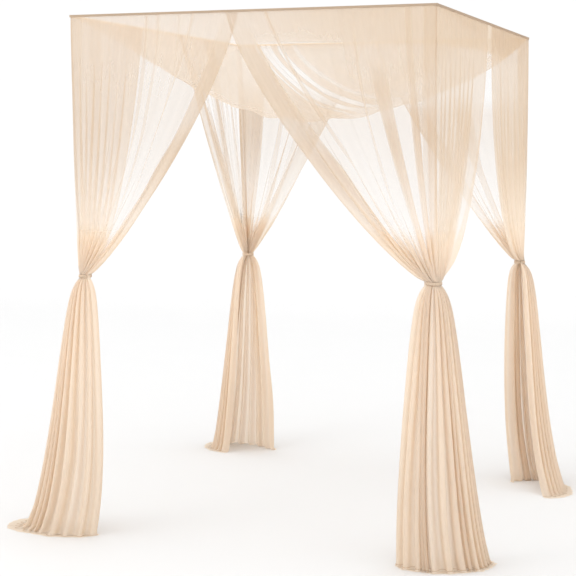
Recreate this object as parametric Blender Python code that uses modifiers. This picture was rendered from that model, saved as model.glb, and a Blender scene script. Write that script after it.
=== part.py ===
"""Mosquito net canopy: a sagging roof panel and four gathered corner curtains.

The origin is the middle of the front top edge. X runs to the right, Y to the back and Z up, in
metres, so the top edge lies at Z = 0 and the floor at Z = -HEIGHT. Each curtain is one sheet that
hangs round its corner: it is drawn together by a tie, bells out below and ends on the floor.
"""

import math
from collections import namedtuple

import bpy

# Driving sizes
WIDTH = 1.70
LENGTH = 2.10
HEIGHT = 2.40
SHEET = 0.0015  # thickness of a cloth solid
GAP = 0.0003  # between pieces that are sewn together

# Top binding, a folded tape
BINDING_TALL = 0.010
BINDING_THICK = 0.005

# Ties, narrow bands round the gathered cloth
TIE_TALL = 0.012
TIE_THICK = 0.002
TIE_SLACK = 0.0016  # between the outermost folds and the band
THROAT_HALF = 0.010  # half the height over which the cloth stays drawn together
TIE_SIDES = 24

# Gathers
VALLEY_SHARE = 0.6  # depth of a valley beside the crests next to it
FOLD_GROWTH = 1.45  # how far a fold swells between the top edge and the tie
FOLD_RISE = 0.75  # how soon it swells below the top edge: less is sooner
FOLD_CLOSE = 0.45  # how late it closes again above the tie: less is later
LEG_FOLD_RISE = 0.6  # how soon a fold swells below the tie
WRAP = math.radians(112)  # how far round the tie each half of a curtain is gathered
CORNER_TURN = 0.06  # along the top edge, where the cloth turns round the corner
PINCH_FOLD = 0.13  # depth of the folds in the tie, as a share of its radius
THROAT_BULGE = 0.028  # the quick swelling just under a tie
BULGE_DROP = 0.035  # how soon that swelling comes, as a share of the drop to the floor
LEAN_STEADY = 0.45  # share of a foot's lean that comes evenly on the way down
LEAN_LATE = 5  # how late the rest of the lean comes: more is later
TIP_SPREAD = math.radians(50)  # how wide the long end of a puddle is

# Levels of a curtain's rows. Above the tie they are shares of the drop from the top edge to the
# tie, and below it shares of the drop from the tie to the floor.
UPPER_LEVELS = (0.0, 0.16, 0.36, 0.56, 0.74, 0.88, 0.97, 1.0)
LOWER_LEVELS = (0.0, 0.05, 0.18, 0.40, 0.66, 0.90)
# The last rows turn out onto the floor: a level and a share of the puddle's reach.
FLOOR_ROWS = ((0.985, 0.10), (1.0, 0.45), (1.0, 1.0))

# Roof panel
ROOF_SAG = 0.434
ROOF_ROUND_X = 0.444  # how full the sag is across the width: less is fuller
ROOF_ROUND_Y = 0.641  # and along the length
ROOF_LEAN_X = -0.17  # how far the deepest place lies off the middle, to the left
ROOF_LEAN_Y = 0.28  # and to the back
ROOF_FAN = 0.7  # how much the folds draw together towards the two corners they run to
ROOF_FAN_LEAST = 0.15
ROOF_CELLS_X = 30
ROOF_CELLS_Y = 32
ROOF_CROWDING = 0.5  # how much closer the rows are at the edges: 0 is even

# A hang is how a free edge falls from the top edge to its tie. `ease` holds it out at the top and
# `swing` brings it in late.
Hang = namedtuple("Hang", "ease swing")

# A corner curtain. `across` and `along` are how far its two halves reach from the corner, along the
# front or back edge and along the side edge. `inset` is from the binding's outer face to the cloth.
# `tie` is the middle of the gathered cloth, from the corner, and `foot` is the middle of its foot,
# from the tie: positive goes right and back. `tie_drop` is from the top edge down to the tie. The
# foot is an oval with a puddle round it, longest towards `tip_turn`. `bell` is how soon the cloth
# widens below the tie: less is sooner.
Corner = namedtuple(
    "Corner",
    "name right back across along across_hang along_hang inset tie tie_drop tie_radius"
    " foot foot_wide foot_deep foot_turn foot_fold bell puddle tip tip_turn",
)
CORNERS = (
    Corner(
        "front_left", -1, -1, 0.81, 0.76, Hang(1.3, 0.87), Hang(1.1, 0.50), 0.0036,
        tie=(0.056, 0.012), tie_drop=1.180, tie_radius=0.026,
        foot=(-0.163, 0.100), foot_wide=0.182, foot_deep=0.110, foot_turn=180, foot_fold=0.024,
        bell=0.85, puddle=0.03, tip=0.08, tip_turn=178,
    ),
    Corner(
        "front_right", 1, -1, 0.94, 1.02, Hang(1.3, 0.87), Hang(1.9, 0.67), 0.0013,
        tie=(-0.007, 0.012), tie_drop=1.163, tie_radius=0.032,
        foot=(0.022, 0.120), foot_wide=0.180, foot_deep=0.120, foot_turn=20, foot_fold=0.026,
        bell=0.90, puddle=0.02, tip=0.01, tip_turn=20,
    ),
    Corner(
        "back_left", -1, 1, 0.76, 0.88, Hang(1.1, 0.97), Hang(1.05, 0.97), 0.0025,
        tie=(0.053, -0.012), tie_drop=1.225, tie_radius=0.029,
        foot=(-0.030, -0.010), foot_wide=0.190, foot_deep=0.115, foot_turn=160, foot_fold=0.024,
        bell=0.85, puddle=0.03, tip=0.05, tip_turn=150,
    ),
    Corner(
        "back_right", 1, 1, 0.87, 0.99, Hang(1.2, 0.92), Hang(2.2, 0.55), 0.0025,
        tie=(-0.021, -0.070), tie_drop=1.225, tie_radius=0.026,
        foot=(0.172, -0.360), foot_wide=0.175, foot_deep=0.125, foot_turn=-75, foot_fold=0.024,
        bell=0.60, puddle=0.03, tip=0.03, tip_turn=-30,
    ),
)

# Folds of each curtain, from the free edge on the front or back to the one on the side. `place` is
# from the corner along the top edge, below zero on the front or back. `depth` is how far the crest
# stands out above the tie, and `leg` scales it below.
Fold = namedtuple("Fold", "place half_width depth leg")
FOLDS = {
    "front_left": (
        Fold(-0.755, 0.022, 0.012, 0.8),
        Fold(-0.675, 0.024, 0.020, 1.1),
        Fold(-0.600, 0.022, 0.014, 0.9),
        Fold(-0.470, 0.020, 0.010, 1.2),
        Fold(-0.370, 0.022, 0.012, 0.7),
        Fold(-0.210, 0.035, 0.016, 1.0),
        Fold(-0.070, 0.030, 0.012, 1.2),
        Fold(0.100, 0.035, 0.014, 0.8),
        Fold(0.260, 0.040, 0.020, 1.1),
        Fold(0.440, 0.035, 0.016, 1.0),
        Fold(0.620, 0.030, 0.014, 0.7),
    ),
    "front_right": (
        Fold(-0.895, 0.026, 0.014, 0.9),
        Fold(-0.800, 0.028, 0.024, 1.2),
        Fold(-0.705, 0.024, 0.018, 0.8),
        Fold(-0.370, 0.018, 0.010, 1.1),
        Fold(-0.265, 0.034, 0.022, 1.0),
        Fold(-0.130, 0.024, 0.014, 0.8),
        Fold(0.075, 0.030, 0.012, 1.2),
        Fold(0.230, 0.036, 0.020, 0.9),
        Fold(0.410, 0.040, 0.024, 1.1),
        Fold(0.600, 0.036, 0.018, 0.7),
        Fold(0.800, 0.040, 0.016, 1.0),
    ),
    "back_left": (
        Fold(-0.670, 0.024, 0.014, 1.0),
        Fold(-0.560, 0.026, 0.018, 0.8),
        Fold(-0.430, 0.024, 0.014, 1.2),
        Fold(-0.310, 0.022, 0.012, 0.9),
        Fold(-0.180, 0.028, 0.018, 1.1),
        Fold(-0.060, 0.026, 0.012, 0.8),
        Fold(0.130, 0.034, 0.016, 1.1),
        Fold(0.300, 0.036, 0.020, 0.7),
        Fold(0.480, 0.034, 0.018, 1.0),
        Fold(0.660, 0.030, 0.016, 1.2),
        Fold(0.830, 0.030, 0.014, 0.8),
    ),
    "back_right": (
        Fold(-0.810, 0.026, 0.014, 1.1),
        Fold(-0.700, 0.028, 0.020, 0.8),
        Fold(-0.430, 0.030, 0.018, 1.0),
        Fold(-0.230, 0.024, 0.012, 1.2),
        Fold(-0.080, 0.026, 0.012, 0.7),
        Fold(0.110, 0.034, 0.014, 1.0),
        Fold(0.280, 0.036, 0.020, 1.2),
        Fold(0.450, 0.036, 0.024, 0.8),
        Fold(0.620, 0.034, 0.018, 1.1),
        Fold(0.800, 0.034, 0.020, 0.9),
        Fold(0.960, 0.028, 0.014, 1.0),
    ),
}

# Soft folds of the roof, which run from the back left corner to the front right one. `across` is
# where a fold crosses the other diagonal, from -1 at the front left corner to 1 at the back right.
RoofFold = namedtuple("RoofFold", "across half_width depth")
ROOF_FOLDS = (
    RoofFold(-0.55, 0.080, 0.016),
    RoofFold(-0.34, 0.070, 0.022),
    RoofFold(-0.15, 0.065, 0.028),
    RoofFold(0.05, 0.070, 0.030),
    RoofFold(0.24, 0.065, 0.026),
    RoofFold(0.45, 0.080, 0.018),
)

# A column of a sheet: where it starts along the top edge, which way it turns out of the sheet, and
# how far it goes that way above and below the tie.
Column = namedtuple("Column", "place upper lower")


def clear_scene():
    """Removes every object that the file holds."""
    for item in list(bpy.data.objects):
        bpy.data.objects.remove(item, do_unlink=True)


def make_collection(name):
    """Returns a new collection, linked to the scene."""
    group = bpy.data.collections.new(name)
    bpy.context.scene.collection.children.link(group)
    return group


def make_material(name, colour, roughness):
    """Returns a plain cloth material."""
    material = bpy.data.materials.new(name)
    material.use_nodes = True
    shader = material.node_tree.nodes["Principled BSDF"]
    shader.inputs["Base Color"].default_value = (*colour, 1.0)
    shader.inputs["Roughness"].default_value = roughness
    shader.inputs["Metallic"].default_value = 0.0
    return material


def sheet_object(name, rows, group, material):
    """Lofts a sheet through rows of points and gives it its thickness."""
    width = len(rows[0])
    points = [point for row in rows for point in row]
    faces = [
        (r * width + c, r * width + c + 1, (r + 1) * width + c + 1, (r + 1) * width + c)
        for r in range(len(rows) - 1)
        for c in range(width - 1)
    ]
    mesh = bpy.data.meshes.new(name)
    mesh.from_pydata(points, [], faces)
    mesh.shade_smooth()
    sheet = bpy.data.objects.new(name, mesh)
    group.objects.link(sheet)
    mesh.materials.append(material)
    solidify = sheet.modifiers.new("thickness", "SOLIDIFY")
    solidify.thickness = SHEET
    solidify.offset = 0.0
    return sheet


def columns_of(corner):
    """Returns a curtain's columns, from one free edge to the other."""
    folds = FOLDS[corner.name]
    columns = [Column(-corner.across, 0.0, 0.0)]
    for number, fold in enumerate(folds):
        crest = corner.foot_fold * fold.leg
        columns.append(Column(fold.place - fold.half_width, 0.0, 0.0))
        columns.append(Column(fold.place, fold.depth, crest))
        columns.append(Column(fold.place + fold.half_width, 0.0, 0.0))
        if number + 1 < len(folds):
            after = folds[number + 1]
            start = fold.place + fold.half_width
            end = after.place - after.half_width
            middle = 0.0 if start < 0.0 < end else (start + end) / 2
            valley = -VALLEY_SHARE * (fold.depth + after.depth) / 2
            leg_valley = -corner.foot_fold * (fold.leg + after.leg) / 2
            columns.append(Column(middle, 0.0 if middle == 0.0 else valley, leg_valley))
    columns.append(Column(corner.along, 0.0, 0.0))
    return columns


def corner_place(corner):
    """Returns X and Y of a corner of the top rectangle."""
    return corner.right * WIDTH / 2, LENGTH if corner.back > 0 else 0.0


def top_point(corner, place):
    """Returns X and Y of a column's top, in the plane of the front, back or side."""
    x, y = corner_place(corner)
    x -= corner.right * corner.inset
    y -= corner.back * corner.inset
    if place < 0.0:
        return x + corner.right * place, y
    return x, y - corner.back * place


def outward_turn(corner):
    """Returns the direction from the canopy's middle out through a corner."""
    return math.atan2(corner.back, corner.right)


def gather_turn(corner, share):
    """Returns a column's direction round the tie, for its share from -1 to 1 across the sheet."""
    return outward_turn(corner) - corner.right * corner.back * share * WRAP


def plane_turn(corner, place):
    """Returns the direction out of the sheet at the top edge."""
    turned = max(-1.0, min(1.0, place / CORNER_TURN))
    return outward_turn(corner) - corner.right * corner.back * turned * math.pi / 4


def upper_point(corner, column, share, level):
    """Returns a point between the top edge and the tie."""
    hang = corner.across_hang if column.place < 0.0 else corner.along_hang
    held_out = max(0.0, 1.0 - level**hang.ease) ** hang.swing
    top_x, top_y = top_point(corner, column.place)
    tie_x, tie_y = tie_middle(corner)
    turn = gather_turn(corner, share)
    radius = pinch_radius(corner, column)
    x = held_out * top_x + (1.0 - held_out) * (tie_x + radius * math.cos(turn))
    y = held_out * top_y + (1.0 - held_out) * (tie_y + radius * math.sin(turn))
    facing = held_out * plane_turn(corner, column.place) + (1.0 - held_out) * turn
    growth = FOLD_GROWTH * level**FOLD_RISE * (1.0 - level) ** FOLD_CLOSE
    start = BINDING_TALL + GAP
    z = -start - level * (corner.tie_drop - THROAT_HALF - start)
    out = column.upper * growth
    return x + out * math.cos(facing), y + out * math.sin(facing), z


def tie_middle(corner):
    """Returns X and Y of the middle of a tie."""
    x, y = corner_place(corner)
    return x + corner.tie[0], y + corner.tie[1]


def pinch_radius(corner, column):
    """Returns how far a column lies from the middle of its tie, inside it."""
    depth = PINCH_FOLD * corner.tie_radius
    sign = (column.lower > 0.0) - (column.lower < 0.0)
    return corner.tie_radius - depth + sign * depth


def swell(level):
    """Returns the quick swelling under a tie, from 0 to nearly 1."""
    return 1.0 - math.exp(-level / BULGE_DROP)


def lower_point(corner, column, share, level, puddle=0.0):
    """Returns a point between the tie and the floor, `puddle` of the way out along the floor."""
    tie_x, tie_y = tie_middle(corner)
    lean = LEAN_STEADY * level + (1.0 - LEAN_STEADY) * level**LEAN_LATE
    middle_x = tie_x + corner.foot[0] * lean
    middle_y = tie_y + corner.foot[1] * lean
    spread = level**corner.bell
    swollen = pinch_radius(corner, column) + THROAT_BULGE * swell(level)
    wide = swollen + (corner.foot_wide - corner.tie_radius - THROAT_BULGE) * spread
    deep = swollen + (corner.foot_deep - corner.tie_radius - THROAT_BULGE) * spread
    turn = gather_turn(corner, share)
    lobe = math.remainder(turn - math.radians(corner.tip_turn), 2 * math.pi)
    reach = corner.puddle + corner.tip * math.exp(-((lobe / TIP_SPREAD) ** 2))
    axis = math.radians(corner.foot_turn)
    along, aside = math.cos(turn - axis), math.sin(turn - axis)
    out = column.lower * level**LEG_FOLD_RISE * 2 / (wide + deep)
    along *= wide + out * deep + reach * puddle
    aside *= deep + out * wide + reach * puddle
    x = middle_x + along * math.cos(axis) - aside * math.sin(axis)
    y = middle_y + along * math.sin(axis) + aside * math.cos(axis)
    start = corner.tie_drop + THROAT_HALF
    lying = SHEET / 2 + GAP
    return x, y, -start - level * (HEIGHT - lying - start)


def make_curtain(corner, group, material):
    """Makes the sheet that hangs round one corner."""
    columns = columns_of(corner)
    last = len(columns) - 1
    shares = [2.0 * number / last - 1.0 for number in range(last + 1)]
    pairs = list(zip(columns, shares))
    rows = [[upper_point(corner, c, s, level) for c, s in pairs] for level in UPPER_LEVELS]
    rows += [[lower_point(corner, c, s, level) for c, s in pairs] for level in LOWER_LEVELS]
    rows += [[lower_point(corner, c, s, *floor_row) for c, s in pairs] for floor_row in FLOOR_ROWS]
    return sheet_object("curtain_" + corner.name, rows, group, material)


def make_tie(corner, group, material):
    """Makes the band round one gathered curtain."""
    x, y = tie_middle(corner)
    bpy.ops.mesh.primitive_cylinder_add(
        vertices=TIE_SIDES,
        radius=corner.tie_radius + SHEET / 2 + TIE_SLACK,
        depth=TIE_TALL,
        end_fill_type="NOTHING",
        location=(x, y, -corner.tie_drop),
    )
    tie = bpy.context.object
    tie.name = "tie_" + corner.name
    solidify = tie.modifiers.new("thickness", "SOLIDIFY")
    solidify.thickness = TIE_THICK
    solidify.offset = 1.0
    solidify.use_even_offset = True
    move_to(tie, group)
    tie.data.materials.append(material)
    return tie


def move_to(item, group):
    """Takes an object out of its collections and into one."""
    for old in list(item.users_collection):
        old.objects.unlink(item)
    group.objects.link(item)


def make_binding(name, middle, size, group, material):
    """Makes one length of the tape along the top edge."""
    bpy.ops.mesh.primitive_cube_add(size=1.0, location=middle)
    tape = bpy.context.object
    tape.name = "binding_" + name
    tape.scale = size
    bpy.ops.object.transform_apply(location=False, rotation=False, scale=True)
    move_to(tape, group)
    tape.data.materials.append(material)
    return tape


def make_bindings(group, material):
    """Makes the four tapes: the front and back ones run through, the side ones fit between."""
    z = -BINDING_TALL / 2
    side_length = LENGTH - 2 * (BINDING_THICK + GAP)
    for name, y in (("front", BINDING_THICK / 2), ("back", LENGTH - BINDING_THICK / 2)):
        make_binding(name, (0.0, y, z), (WIDTH, BINDING_THICK, BINDING_TALL), group, material)
    for name, right in (("left", -1), ("right", 1)):
        x = right * (WIDTH - BINDING_THICK) / 2
        size = (BINDING_THICK, side_length, BINDING_TALL)
        make_binding(name, (x, LENGTH / 2, z), size, group, material)


def roof_point(across, along):
    """Returns a point of the roof, for shares of the half width and half length from -1 to 1."""
    edge = BINDING_THICK + 2 * GAP + SHEET / 2
    x = across * (WIDTH / 2 - edge)
    y = LENGTH / 2 + along * (LENGTH / 2 - edge)
    low_x = math.cos((across - ROOF_LEAN_X * (1.0 - across**2)) * math.pi / 2)
    low_y = math.cos((along - ROOF_LEAN_Y * (1.0 - along**2)) * math.pi / 2)
    fade = max(0.0, low_x * low_y)
    sag = ROOF_SAG * max(0.0, low_x) ** ROOF_ROUND_X * max(0.0, low_y) ** ROOF_ROUND_Y
    down_line = abs(across - along) / 2
    crossing = (across + along) / 2 / max(ROOF_FAN_LEAST, 1.0 - ROOF_FAN * down_line)
    ripple = sum(
        fold.depth * math.exp(-(((crossing - fold.across) / fold.half_width) ** 2))
        for fold in ROOF_FOLDS
    )
    return x, y, -BINDING_TALL / 2 - sag - ripple * fade


def roof_lines(cells):
    """Returns shares from -1 to 1, closer together towards both ends."""
    shares = [number / cells for number in range(cells + 1)]
    return [
        (1.0 - ROOF_CROWDING) * (2.0 * share - 1.0) - ROOF_CROWDING * math.cos(math.pi * share)
        for share in shares
    ]


def make_roof(group, material):
    """Makes the sagging roof panel."""
    across = roof_lines(ROOF_CELLS_X)
    along = roof_lines(ROOF_CELLS_Y)
    rows = [[roof_point(a, b) for a in across] for b in along]
    return sheet_object("roof_panel", rows, group, material)


def main():
    """Builds the canopy."""
    clear_scene()
    group = make_collection("mosquito_net_canopy")
    voile = make_material("cream voile", (0.86, 0.69, 0.52), 0.85)
    tape = make_material("binding tape", (0.72, 0.54, 0.38), 0.80)
    band = make_material("tie cloth", (0.80, 0.62, 0.45), 0.85)
    make_roof(group, voile)
    make_bindings(group, tape)
    for corner in CORNERS:
        make_curtain(corner, group, voile)
        make_tie(corner, group, band)


main()
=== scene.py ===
"""Looks of a mosquito net canopy: sheer voile curtains, a sagging roof, top binding and ties.

The origin is the middle of the front top edge. X runs to the right, Y to the back and Z up, in
metres. Each curtain hangs round one corner, is drawn together by a tie and ends on the floor.
"""

from __future__ import annotations

import logging
import math
from dataclasses import dataclass, field
from enum import Enum
from typing import NamedTuple

import bpy
import numpy as np
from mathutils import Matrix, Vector

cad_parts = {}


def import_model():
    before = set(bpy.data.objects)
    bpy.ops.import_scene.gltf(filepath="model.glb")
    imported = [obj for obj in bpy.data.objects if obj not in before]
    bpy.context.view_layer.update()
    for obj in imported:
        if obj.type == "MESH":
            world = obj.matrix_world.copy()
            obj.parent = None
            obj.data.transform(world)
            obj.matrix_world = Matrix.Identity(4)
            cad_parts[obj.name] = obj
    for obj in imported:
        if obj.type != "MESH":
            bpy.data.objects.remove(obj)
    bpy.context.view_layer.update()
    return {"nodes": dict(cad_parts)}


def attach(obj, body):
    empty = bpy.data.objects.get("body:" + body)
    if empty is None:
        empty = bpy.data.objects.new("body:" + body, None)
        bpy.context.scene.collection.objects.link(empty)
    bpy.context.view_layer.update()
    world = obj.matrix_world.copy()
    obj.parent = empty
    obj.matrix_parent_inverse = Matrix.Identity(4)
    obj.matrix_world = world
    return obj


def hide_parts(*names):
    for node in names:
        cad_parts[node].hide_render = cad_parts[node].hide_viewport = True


LOG = logging.getLogger("canopy")
Array = np.ndarray
Colour = tuple[float, float, float]
Span = tuple[float, float]
Object = bpy.types.Object
Material = bpy.types.Material

# Driving sizes, in metres
WIDTH = 1.70
LENGTH = 2.10
HEIGHT = 2.40
BINDING_TALL = 0.010
BINDING_THICK = 0.005
CLOTH_HALF = 0.00075  # half the thickness of the cloth in the solids
GAP = 0.0003  # room between the cloth and the binding
TIE_TALL = 0.012
THROAT_HALF = 0.010  # half the height of the cloth that the tie holds
CORNER_TURN = 0.06  # cloth on each side of a corner that turns round it
LYING = 0.0012  # height of cloth that lies on the floor
EDGE_FAR = 0.1  # distance from an edge past which it is no longer told

FULL_TURN = 2.0 * math.pi
TINY = 1e-5
RAMP_MOST = 4.0  # highest value of a ramp's stop
NO_FOLD = -9.0  # height of the upper fold of a tape that has none
SEED_TURN = 3.1  # radians that a seed shifts the first of some waves
WAVE_TURN = 1.7  # further radians for each later wave


class Source(Enum):
    """What a pattern follows, by the name of its texture coordinate."""

    CLOTH = "UV"
    PIECE = "Object"


class Hang(NamedTuple):
    """How a free edge falls from the top edge to its tie."""

    ease: float
    swing: float

    def held(self, level: float) -> float:
        """Returns how far the edge is still held out, from 1 at the top edge to 0 at the tie."""
        return max(0.0, 1.0 - level**self.ease) ** self.swing


class Fold(NamedTuple):
    """One main fold of a curtain, placed from its corner along the top edge."""

    place: float
    half_width: float
    depth: float
    leg: float


class Band(NamedTuple):
    """A stretch of doubled cloth, from its places at the top edge to those at the tie."""

    start: float
    end: float
    low_start: float
    low_end: float
    layers: float  # further layers, or below zero where the cloth is made thinner
    first: float = 0.0  # share of the way to the tie where it starts
    last: float = 1.0


# Shader building


@dataclass
class Sock:
    """A shader socket that adds Math nodes when it is used in an expression."""

    tree: bpy.types.NodeTree
    socket: bpy.types.NodeSocket

    def _math(self, operation: str, *values: Sock | float) -> Sock:
        """Adds a Math node."""
        return Nodes(self.tree).math(operation, *values)

    def __add__(self, other: Sock | float) -> Sock:
        """Adds."""
        return self._math("ADD", self, other)

    __radd__ = __add__

    def __mul__(self, other: Sock | float) -> Sock:
        """Multiplies."""
        return self._math("MULTIPLY", self, other)

    __rmul__ = __mul__

    def __sub__(self, other: Sock | float) -> Sock:
        """Subtracts."""
        return self._math("SUBTRACT", self, other)

    def __rsub__(self, other: float) -> Sock:
        """Subtracts from a number."""
        return self._math("SUBTRACT", other, self)

    def power_of(self, base: float) -> Sock:
        """Raises a number to this value."""
        return self._math("POWER", base, self)

    def smooth(self, low: float, high: float) -> Sock:
        """Goes softly from 0 to 1.

        Args:
            low: the value where it leaves 0.
            high: the value where it comes to 1.

        Returns:
            The share.
        """
        settings = {"interpolation_type": "SMOOTHSTEP", "clamp": True}
        values = {"Value": self, "From Min": low, "From Max": high}
        nodes = Nodes(self.tree)
        return nodes.out(nodes.add("ShaderNodeMapRange", settings, values), "Result")


@dataclass
class Nodes:
    """Adds nodes to one shader tree."""

    tree: bpy.types.NodeTree

    def add(
        self,
        kind: str,
        settings: dict[str, object] | None = None,
        values: dict[str | int, object] | None = None,
    ) -> bpy.types.Node:
        """Adds a node, sets it up and then fills or links its sockets.

        Args:
            kind: the node's Blender type name.
            settings: attributes that are set first, such as an operation.
            values: a number, a tuple or a Sock for each input, by its name or place.

        Returns:
            The new node.
        """
        node = self.tree.nodes.new(kind)
        for name, setting in (settings or {}).items():
            setattr(node, name, setting)
        for key, value in (values or {}).items():
            if isinstance(value, Sock):
                self.tree.links.new(value.socket, node.inputs[key])
            else:
                node.inputs[key].default_value = value
        return node

    def out(self, node: bpy.types.Node, name: str | int = 0) -> Sock:
        """Returns one output of a node."""
        return Sock(self.tree, node.outputs[name])

    def math(self, operation: str, *values: Sock | float) -> Sock:
        """Adds one Math node, with its inputs in order."""
        node = self.add("ShaderNodeMath", {"operation": operation}, dict(enumerate(values)))
        return self.out(node)

    def attribute(self, name: str) -> Sock:
        """Reads a number that is stored on the mesh."""
        return self.out(self.add("ShaderNodeAttribute", {"attribute_name": name}), "Fac")

    def place(self, source: Source) -> Sock:
        """Returns the place of a point."""
        return self.out(self.add("ShaderNodeTexCoord"), source.value)

    def stretched(self, scale: tuple[float, float, float], source: Source) -> Sock:
        """Returns the place of a point, with each axis multiplied by its scale."""
        values = {"Vector": self.place(source), "Scale": scale}
        return self.out(self.add("ShaderNodeMapping", None, values))

    def joined(self, across: Sock, along: Sock) -> Sock:
        """Returns a place made of two numbers."""
        return self.out(self.add("ShaderNodeCombineXYZ", None, {0: across, 1: along}))

    def axis(self, name: str, source: Source) -> Sock:
        """Returns one axis of the place of a point."""
        return self.out(self.add("ShaderNodeSeparateXYZ", None, {0: self.place(source)}), name)

    def noise(self, place: Sock, detail: float) -> Sock:
        """Adds smooth noise from about 0 to 1, with octaves of detail."""
        values = {"Vector": place, "Scale": 1.0, "Detail": detail}
        return self.out(self.add("ShaderNodeTexNoise", None, values), "Fac")

    def waves(self, repeats: float, source: Source) -> tuple[Sock, Sock]:
        """Adds sine waves from -1 to 1 along X and along Y, by their repeats a metre."""
        x, y = (self.axis(name, source) * (FULL_TURN * repeats) for name in "XY")
        return self.math("SINE", x), self.math("SINE", y)

    def ramp(self, factor: Sock, stops: tuple[Span, ...]) -> Sock:
        """Turns a number from 0 to 1 into another through a row of stops.

        Args:
            factor: where along the ramp.
            stops: a place and a value for each stop.

        Returns:
            The value.
        """
        node = self.add("ShaderNodeValToRGB", None, {"Fac": factor})
        node.color_ramp.interpolation = "LINEAR"
        elements = node.color_ramp.elements
        while len(elements) < len(stops):
            elements.new(0.5)
        for element, (place, value) in zip(elements, stops):
            element.position = place
            element.color = (*[value / RAMP_MOST] * 3, 1.0)
        return self.out(node, "Color") * RAMP_MOST

    def blend(self, factor: Sock, low: Sock | Colour, high: Colour) -> Sock:
        """Mixes two colours.

        Args:
            factor: from 0 to 1.
            low: the colour at 0, which may vary.
            high: the colour at 1.

        Returns:
            The mixed colour.
        """
        first = low if isinstance(low, Sock) else (*low, 1.0)
        settings = {"data_type": "RGBA", "clamp_factor": True}
        values = {"Factor": factor, 6: first, 7: (*high, 1.0)}
        return self.out(self.add("ShaderNodeMix", settings, values), 2)

    def bump(self, height: Sock, strength: float, distance: float) -> Sock:
        """Turns a height into a bumped normal."""
        values = {"Height": height, "Strength": strength, "Distance": distance}
        return self.out(self.add("ShaderNodeBump", None, values))

    def lit(self, colour: Sock, normal: Sock, roughness: float, gloss: float) -> Sock:
        """Adds cloth with the light on it.

        Args:
            colour: its colour.
            normal: its bumped normal.
            roughness: its roughness.
            gloss: its specular level.

        Returns:
            The shader.
        """
        values = {"Base Color": colour, "Normal": normal}
        values |= {"Roughness": roughness, "Specular IOR Level": gloss}
        return self.out(self.add("ShaderNodeBsdfPrincipled", None, values))

    def lit_through(self, colour: Colour, normal: Sock) -> Sock:
        """Returns cloth of one plain colour with the light behind it."""
        values = {"Color": (*colour, 1.0), "Normal": normal}
        return self.out(self.add("ShaderNodeBsdfTranslucent", None, values))

    def mix_shaders(self, factor: Sock | float, low: Sock, high: Sock) -> Sock:
        """Mixes two shaders."""
        return self.out(self.add("ShaderNodeMixShader", None, {0: factor, 1: low, 2: high}))


def linear(red: int, green: int, blue: int) -> Colour:
    """Returns a colour in linear light from its usual values up to 255, all above 10."""
    return tuple(((value / 255 + 0.055) / 1.055) ** 2.4 for value in (red, green, blue))


def new_material(name: str) -> tuple[Material, Nodes]:
    """Makes a material with an empty shader tree but for its output.

    Args:
        name: its name.

    Returns:
        The material and its nodes.
    """
    material = bpy.data.materials.new(name)
    material.use_nodes = True
    tree = material.node_tree
    for node in [n for n in tree.nodes if n.type != "OUTPUT_MATERIAL"]:
        tree.nodes.remove(node)
    return material, Nodes(tree)


def finish_material(nodes: Nodes, surface: Sock) -> None:
    """Links a shader to the material's output."""
    output = next(n for n in nodes.tree.nodes if n.type == "OUTPUT_MATERIAL")
    nodes.tree.links.new(surface.socket, output.inputs["Surface"])


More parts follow.
